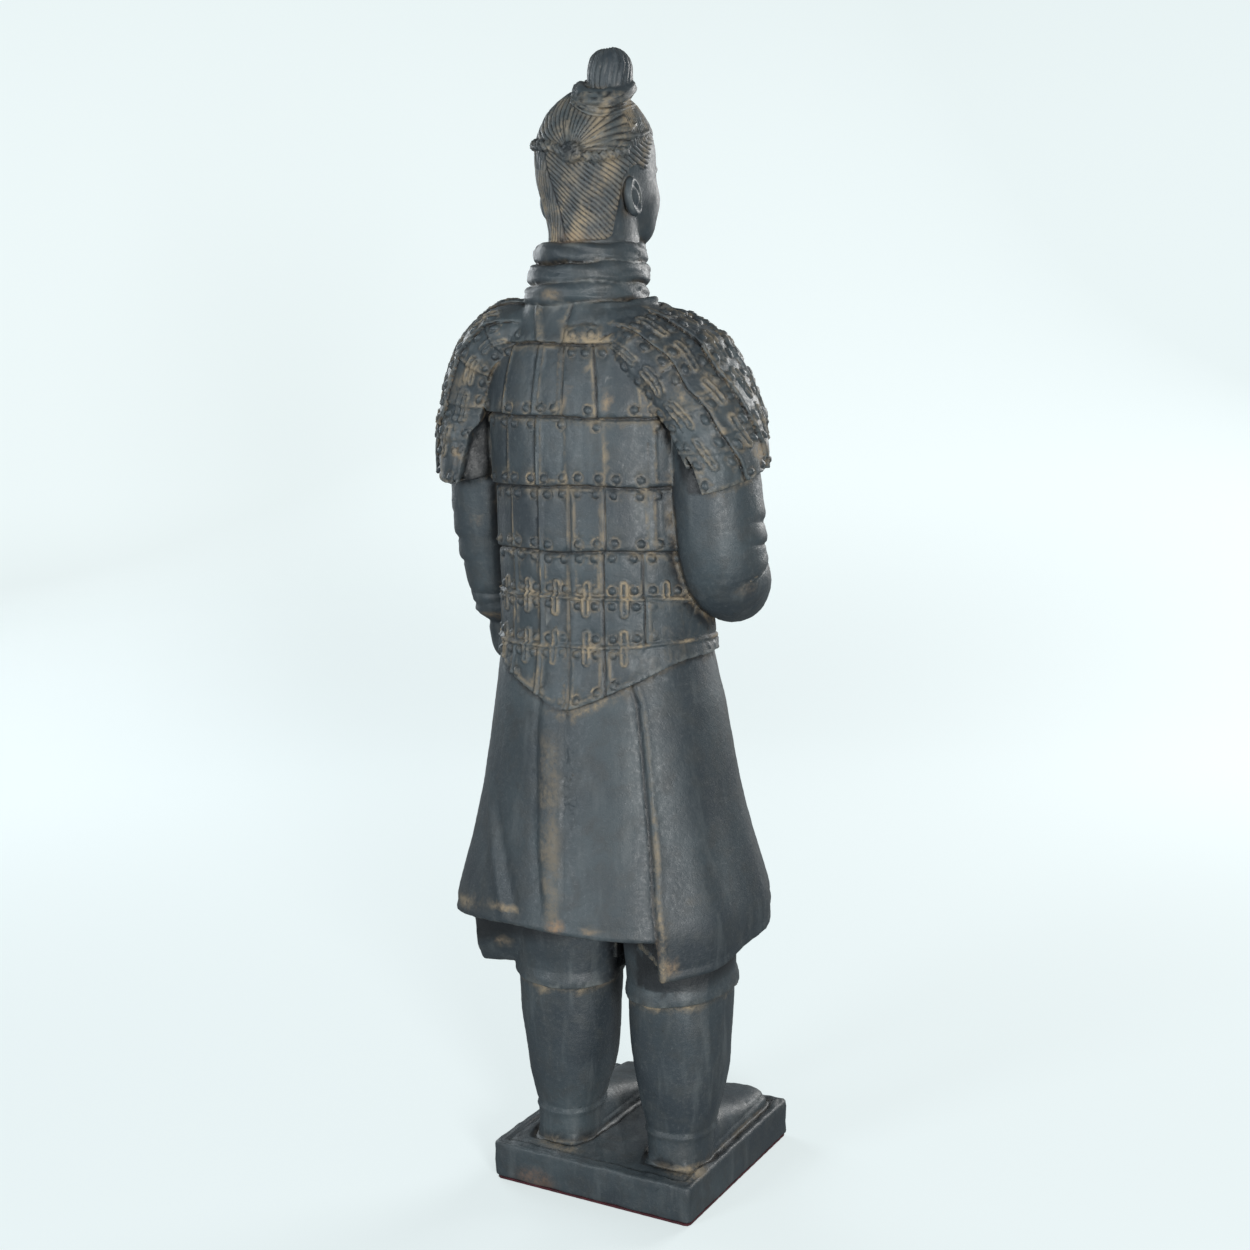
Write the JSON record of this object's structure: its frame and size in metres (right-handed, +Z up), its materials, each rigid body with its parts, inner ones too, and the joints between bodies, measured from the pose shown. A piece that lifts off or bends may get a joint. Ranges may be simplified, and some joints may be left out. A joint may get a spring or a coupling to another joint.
{
  "type": "terracotta warrior statue",
  "caption": "Standing armoured soldier figure with top-knot, scarf, plate armour and long robe on a square base, cast in dark grey fired clay, felt under the base.",
  "frame": {"origin": "centre of the underside of the felt pad, on the surface the statue stands on", "axes": "+Z up; the figure faces -Y and its left hand is towards +X"},
  "size_m": [0.1406, 0.1209, 0.449],
  "materials": {
    "grey_clay": "satin dark slate-grey fired clay with ochre dust in the recesses",
    "felt": "matte dark maroon felt"
  },
  "bodies": {
    "root": {"statue": "grey_clay", "felt_pad": "felt"}
  },
  "joints": []
}
